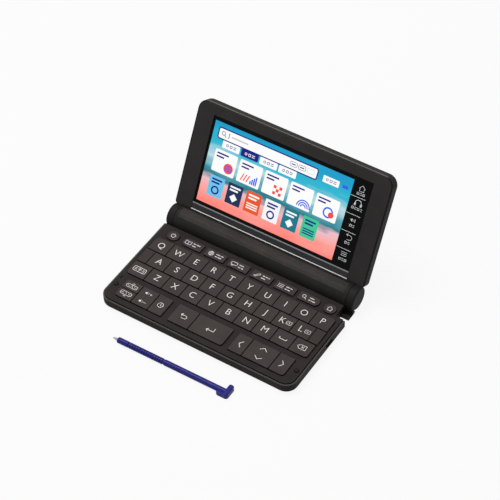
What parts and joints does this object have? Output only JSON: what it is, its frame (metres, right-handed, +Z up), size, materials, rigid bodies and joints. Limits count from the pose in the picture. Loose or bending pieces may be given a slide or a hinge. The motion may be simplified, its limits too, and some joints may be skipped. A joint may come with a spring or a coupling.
{
  "type": "electronic dictionary",
  "caption": "Pocket electronic dictionary standing open: keyboard base with battery barrel along the back, hinged display lid, separate keys, and a stylus lying in front.",
  "frame": {"origin": "on the desk, under the middle of the base's width and depth", "axes": "+X to the user's right along the hinge, +Y from the user towards the hinge, +Z up"},
  "size_m": [0.1484, 0.1559, 0.084],
  "materials": {
    "case": "satin",
    "deck": "matte",
    "bezel": "satin",
    "display": "gloss",
    "keys": "satin",
    "board": "satin",
    "mat": "matte",
    "cells": "satin",
    "shafts": "satin",
    "screws": "satin",
    "feet": "matte",
    "stylus": "satin"
  },
  "bodies": {
    "base": {"lower_case": "case", "keyboard_deck": "deck", "main_board": "board", "key_mat": "mat", "battery_barrel": "case", "aa_cells": "cells", "case_screws": "screws", "rubber_feet": "feet"},
    "lid": {"lid_back_cover": "case", "lid_front_bezel": "bezel", "display_panel": "display", "hinge_shafts": "shafts"},
    "door": {"battery_door": "case"},
    "stylus": {"stylus": "stylus"},
    "cap_q": {"key_q": "keys"},
    "cap_w": {"key_w": "keys"},
    "cap_e": {"key_e": "keys"},
    "cap_r": {"key_r": "keys"},
    "cap_t": {"key_t": "keys"},
    "cap_y": {"key_y": "keys"},
    "cap_u": {"key_u": "keys"},
    "cap_i": {"key_i": "keys"},
    "cap_o": {"key_o": "keys"},
    "cap_p": {"key_p": "keys"},
    "cap_a": {"key_a": "keys"},
    "cap_s": {"key_s": "keys"},
    "cap_d": {"key_d": "keys"},
    "cap_f": {"key_f": "keys"},
    "cap_g": {"key_g": "keys"},
    "cap_h": {"key_h": "keys"},
    "cap_j": {"key_j": "keys"},
    "cap_k": {"key_k": "keys"},
    "cap_l": {"key_l": "keys"},
    "cap_shift": {"key_shift": "keys"},
    "cap_z": {"key_z": "keys"},
    "cap_x": {"key_x": "keys"},
    "cap_c": {"key_c": "keys"},
    "cap_v": {"key_v": "keys"},
    "cap_b": {"key_b": "keys"},
    "cap_n": {"key_n": "keys"},
    "cap_m": {"key_m": "keys"},
    "cap_space": {"key_space": "keys"},
    "cap_delete": {"key_delete": "keys"},
    "cap_function_1": {"key_function_1": "keys"},
    "cap_function_2": {"key_function_2": "keys"},
    "cap_function_3": {"key_function_3": "keys"},
    "cap_function_4": {"key_function_4": "keys"},
    "cap_function_5": {"key_function_5": "keys"},
    "cap_function_6": {"key_function_6": "keys"},
    "cap_power": {"key_power": "keys"},
    "cap_home": {"key_home": "keys"},
    "cap_size_up": {"key_size_up": "keys"},
    "cap_size_down": {"key_size_down": "keys"},
    "cap_volume": {"key_volume": "keys"},
    "cap_history": {"key_history": "keys"},
    "cap_back": {"key_back": "keys"},
    "cap_enter": {"key_enter": "keys"},
    "cap_left": {"key_left": "keys"},
    "cap_up_down": {"key_up_down": "keys"},
    "cap_right": {"key_right": "keys"}
  },
  "joints": [
    {"name": "lid_hinge", "type": "hinge", "parent": "base", "child": "lid", "pos_m": [0, 0.0384, 0.0096], "axis": [-1, 0, 0], "range_deg": [-118.5, 31.5]},
    {"name": "battery_door_slide", "type": "slide", "parent": "base", "child": "door", "axis": [1, 0, 0], "range_m": [0, 0.004]},
    {"name": "lift_stylus", "type": "slide", "parent": "base", "child": "stylus", "axis": [0, 0, 1], "range_m": [0, 0.06]},
    {"name": "press_q", "type": "slide", "parent": "base", "child": "cap_q", "axis": [0, 0, -1], "range_m": [0, 0.0008], "stiffness_N_per_m": 750, "springref_m": -0.0004},
    {"name": "press_w", "type": "slide", "parent": "base", "child": "cap_w", "axis": [0, 0, -1], "range_m": [0, 0.0008], "stiffness_N_per_m": 750, "springref_m": -0.0004},
    {"name": "press_e", "type": "slide", "parent": "base", "child": "cap_e", "axis": [0, 0, -1], "range_m": [0, 0.0008], "stiffness_N_per_m": 750, "springref_m": -0.0004},
    {"name": "press_r", "type": "slide", "parent": "base", "child": "cap_r", "axis": [0, 0, -1], "range_m": [0, 0.0008], "stiffness_N_per_m": 750, "springref_m": -0.0004},
    {"name": "press_t", "type": "slide", "parent": "base", "child": "cap_t", "axis": [0, 0, -1], "range_m": [0, 0.0008], "stiffness_N_per_m": 750, "springref_m": -0.0004},
    {"name": "press_y", "type": "slide", "parent": "base", "child": "cap_y", "axis": [0, 0, -1], "range_m": [0, 0.0008], "stiffness_N_per_m": 750, "springref_m": -0.0004},
    {"name": "press_u", "type": "slide", "parent": "base", "child": "cap_u", "axis": [0, 0, -1], "range_m": [0, 0.0008], "stiffness_N_per_m": 750, "springref_m": -0.0004},
    {"name": "press_i", "type": "slide", "parent": "base", "child": "cap_i", "axis": [0, 0, -1], "range_m": [0, 0.0008], "stiffness_N_per_m": 750, "springref_m": -0.0004},
    {"name": "press_o", "type": "slide", "parent": "base", "child": "cap_o", "axis": [0, 0, -1], "range_m": [0, 0.0008], "stiffness_N_per_m": 750, "springref_m": -0.0004},
    {"name": "press_p", "type": "slide", "parent": "base", "child": "cap_p", "axis": [0, 0, -1], "range_m": [0, 0.0008], "stiffness_N_per_m": 750, "springref_m": -0.0004},
    {"name": "press_a", "type": "slide", "parent": "base", "child": "cap_a", "axis": [0, 0, -1], "range_m": [0, 0.0008], "stiffness_N_per_m": 750, "springref_m": -0.0004},
    {"name": "press_s", "type": "slide", "parent": "base", "child": "cap_s", "axis": [0, 0, -1], "range_m": [0, 0.0008], "stiffness_N_per_m": 750, "springref_m": -0.0004},
    {"name": "press_d", "type": "slide", "parent": "base", "child": "cap_d", "axis": [0, 0, -1], "range_m": [0, 0.0008], "stiffness_N_per_m": 750, "springref_m": -0.0004},
    {"name": "press_f", "type": "slide", "parent": "base", "child": "cap_f", "axis": [0, 0, -1], "range_m": [0, 0.0008], "stiffness_N_per_m": 750, "springref_m": -0.0004},
    {"name": "press_g", "type": "slide", "parent": "base", "child": "cap_g", "axis": [0, 0, -1], "range_m": [0, 0.0008], "stiffness_N_per_m": 750, "springref_m": -0.0004},
    {"name": "press_h", "type": "slide", "parent": "base", "child": "cap_h", "axis": [0, 0, -1], "range_m": [0, 0.0008], "stiffness_N_per_m": 750, "springref_m": -0.0004},
    {"name": "press_j", "type": "slide", "parent": "base", "child": "cap_j", "axis": [0, 0, -1], "range_m": [0, 0.0008], "stiffness_N_per_m": 750, "springref_m": -0.0004},
    {"name": "press_k", "type": "slide", "parent": "base", "child": "cap_k", "axis": [0, 0, -1], "range_m": [0, 0.0008], "stiffness_N_per_m": 750, "springref_m": -0.0004},
    {"name": "press_l", "type": "slide", "parent": "base", "child": "cap_l", "axis": [0, 0, -1], "range_m": [0, 0.0008], "stiffness_N_per_m": 750, "springref_m": -0.0004},
    {"name": "press_shift", "type": "slide", "parent": "base", "child": "cap_shift", "axis": [0, 0, -1], "range_m": [0, 0.0008], "stiffness_N_per_m": 750, "springref_m": -0.0004},
    {"name": "press_z", "type": "slide", "parent": "base", "child": "cap_z", "axis": [0, 0, -1], "range_m": [0, 0.0008], "stiffness_N_per_m": 750, "springref_m": -0.0004},
    {"name": "press_x", "type": "slide", "parent": "base", "child": "cap_x", "axis": [0, 0, -1], "range_m": [0, 0.0008], "stiffness_N_per_m": 750, "springref_m": -0.0004},
    {"name": "press_c", "type": "slide", "parent": "base", "child": "cap_c", "axis": [0, 0, -1], "range_m": [0, 0.0008], "stiffness_N_per_m": 750, "springref_m": -0.0004},
    {"name": "press_v", "type": "slide", "parent": "base", "child": "cap_v", "axis": [0, 0, -1], "range_m": [0, 0.0008], "stiffness_N_per_m": 750, "springref_m": -0.0004},
    {"name": "press_b", "type": "slide", "parent": "base", "child": "cap_b", "axis": [0, 0, -1], "range_m": [0, 0.0008], "stiffness_N_per_m": 750, "springref_m": -0.0004},
    {"name": "press_n", "type": "slide", "parent": "base", "child": "cap_n", "axis": [0, 0, -1], "range_m": [0, 0.0008], "stiffness_N_per_m": 750, "springref_m": -0.0004},
    {"name": "press_m", "type": "slide", "parent": "base", "child": "cap_m", "axis": [0, 0, -1], "range_m": [0, 0.0008], "stiffness_N_per_m": 750, "springref_m": -0.0004},
    {"name": "press_space", "type": "slide", "parent": "base", "child": "cap_space", "axis": [0, 0, -1], "range_m": [0, 0.0008], "stiffness_N_per_m": 750, "springref_m": -0.0004},
    {"name": "press_delete", "type": "slide", "parent": "base", "child": "cap_delete", "axis": [0, 0, -1], "range_m": [0, 0.0008], "stiffness_N_per_m": 750, "springref_m": -0.0004},
    {"name": "press_function_1", "type": "slide", "parent": "base", "child": "cap_function_1", "axis": [0, 0, -1], "range_m": [0, 0.0008], "stiffness_N_per_m": 750, "springref_m": -0.0004},
    {"name": "press_function_2", "type": "slide", "parent": "base", "child": "cap_function_2", "axis": [0, 0, -1], "range_m": [0, 0.0008], "stiffness_N_per_m": 750, "springref_m": -0.0004},
    {"name": "press_function_3", "type": "slide", "parent": "base", "child": "cap_function_3", "axis": [0, 0, -1], "range_m": [0, 0.0008], "stiffness_N_per_m": 750, "springref_m": -0.0004},
    {"name": "press_function_4", "type": "slide", "parent": "base", "child": "cap_function_4", "axis": [0, 0, -1], "range_m": [0, 0.0008], "stiffness_N_per_m": 750, "springref_m": -0.0004},
    {"name": "press_function_5", "type": "slide", "parent": "base", "child": "cap_function_5", "axis": [0, 0, -1], "range_m": [0, 0.0008], "stiffness_N_per_m": 750, "springref_m": -0.0004},
    {"name": "press_function_6", "type": "slide", "parent": "base", "child": "cap_function_6", "axis": [0, 0, -1], "range_m": [0, 0.0008], "stiffness_N_per_m": 750, "springref_m": -0.0004},
    {"name": "press_power", "type": "slide", "parent": "base", "child": "cap_power", "axis": [0, 0, -1], "range_m": [0, 0.0008], "stiffness_N_per_m": 750, "springref_m": -0.0004},
    {"name": "press_home", "type": "slide", "parent": "base", "child": "cap_home", "axis": [0, 0, -1], "range_m": [0, 0.0008], "stiffness_N_per_m": 750, "springref_m": -0.0004},
    {"name": "press_size_up", "type": "slide", "parent": "base", "child": "cap_size_up", "axis": [0, 0, -1], "range_m": [0, 0.0008], "stiffness_N_per_m": 750, "springref_m": -0.0004},
    {"name": "press_size_down", "type": "slide", "parent": "base", "child": "cap_size_down", "axis": [0, 0, -1], "range_m": [0, 0.0008], "stiffness_N_per_m": 750, "springref_m": -0.0004},
    {"name": "rock_volume", "type": "hinge", "parent": "base", "child": "cap_volume", "pos_m": [-0.04578, -0.0332, 0.0065], "axis": [1, 0, 0], "range_deg": [-3, 3], "stiffness_Nm_per_rad": 0.1},
    {"name": "press_history", "type": "slide", "parent": "base", "child": "cap_history", "axis": [0, 0, -1], "range_m": [0, 0.0008], "stiffness_N_per_m": 750, "springref_m": -0.0004},
    {"name": "press_back", "type": "slide", "parent": "base", "child": "cap_back", "axis": [0, 0, -1], "range_m": [0, 0.0008], "stiffness_N_per_m": 750, "springref_m": -0.0004},
    {"name": "press_enter", "type": "slide", "parent": "base", "child": "cap_enter", "axis": [0, 0, -1], "range_m": [0, 0.0008], "stiffness_N_per_m": 750, "springref_m": -0.0004},
    {"name": "press_left", "type": "slide", "parent": "base", "child": "cap_left", "axis": [0, 0, -1], "range_m": [0, 0.0008], "stiffness_N_per_m": 750, "springref_m": -0.0004},
    {"name": "rock_up_down", "type": "hinge", "parent": "base", "child": "cap_up_down", "pos_m": [0.04364, -0.0332, 0.0065], "axis": [1, 0, 0], "range_deg": [-3, 3], "stiffness_Nm_per_rad": 0.1},
    {"name": "press_right", "type": "slide", "parent": "base", "child": "cap_right", "axis": [0, 0, -1], "range_m": [0, 0.0008], "stiffness_N_per_m": 750, "springref_m": -0.0004}
  ]
}
